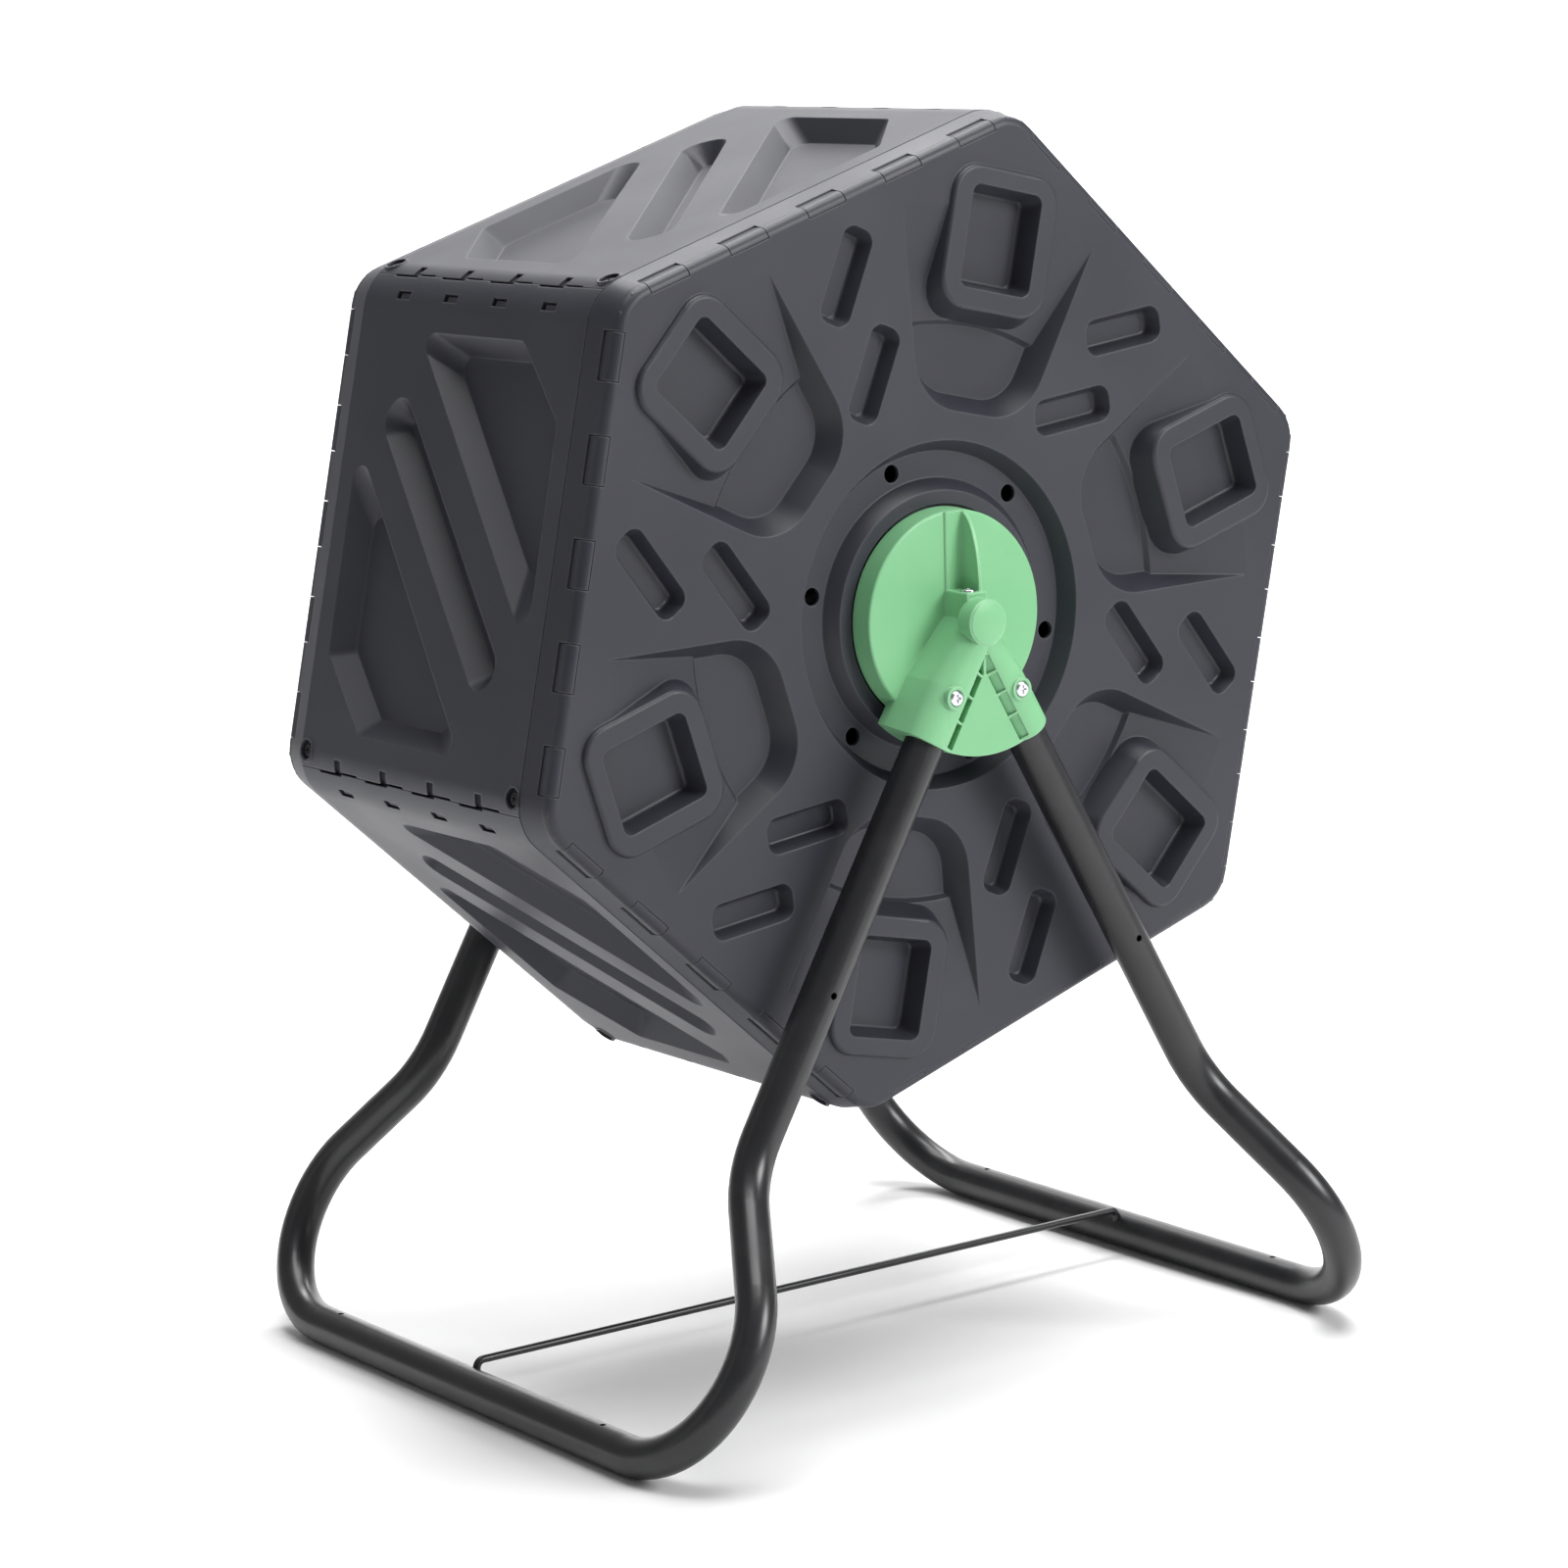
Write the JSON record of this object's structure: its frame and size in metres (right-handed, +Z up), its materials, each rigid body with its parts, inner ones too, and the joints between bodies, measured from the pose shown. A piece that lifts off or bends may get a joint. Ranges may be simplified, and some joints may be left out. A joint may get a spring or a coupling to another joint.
{
  "type": "compost tumbler",
  "caption": "Hexagonal black plastic composting drum with moulded recesses and a sliding hatch, turning on a steel axle between bent-tube stand loops with green hub brackets.",
  "frame": {"origin": "On the ground under the middle of the drum: centre of the bounding box, bottom face.", "axes": "+Z up, +Y along the axle from the front end (the face with the camera-side bracket) to the rear end, +X to the right seen from the front."},
  "size_m": [0.5986, 0.5142, 0.7881],
  "materials": {
    "drum_plastic": "fine-grained matt charcoal black, slight sheen on edges",
    "door_plastic": "satin bright green",
    "bracket_plastic": "satin bright green",
    "stand_enamel": "gloss black enamel on steel tube",
    "rod_enamel": "black enamel on steel rod",
    "axle_steel": "drawn steel bar, zinc plated",
    "zinc_screws": "bright zinc plated",
    "black_screws": "black oxide steel"
  },
  "bodies": {
    "stand": {"left_stand_loop": "stand_enamel", "right_stand_loop": "stand_enamel", "spreader_rod": "rod_enamel", "front_bracket": "bracket_plastic", "rear_bracket": "bracket_plastic", "axle": "axle_steel", "axle_screws": "zinc_screws", "bracket_leg_screws": "zinc_screws"},
    "drum": {"front_end_cap": "drum_plastic", "rear_end_cap": "drum_plastic", "side_panel_upper_right": "drum_plastic", "side_panel_lower_right": "drum_plastic", "side_panel_lower_left": "drum_plastic", "side_panel_left": "drum_plastic", "side_panel_upper_left": "drum_plastic", "door_panel": "drum_plastic", "panel_screws": "black_screws", "front_hub_flange": "door_plastic", "rear_hub_flange": "door_plastic", "hub_flange_screws": "zinc_screws"},
    "door": {"sliding_door": "door_plastic"}
  },
  "joints": [
    {"name": "drum_spin", "type": "hinge", "parent": "stand", "child": "drum", "pos_m": [0, 0, 0.4834], "axis": [0, 1, 0], "continuous": true},
    {"name": "door_slide", "type": "slide", "parent": "drum", "child": "door", "axis": [0, -1, 0], "range_m": [0, 0.106]}
  ]
}
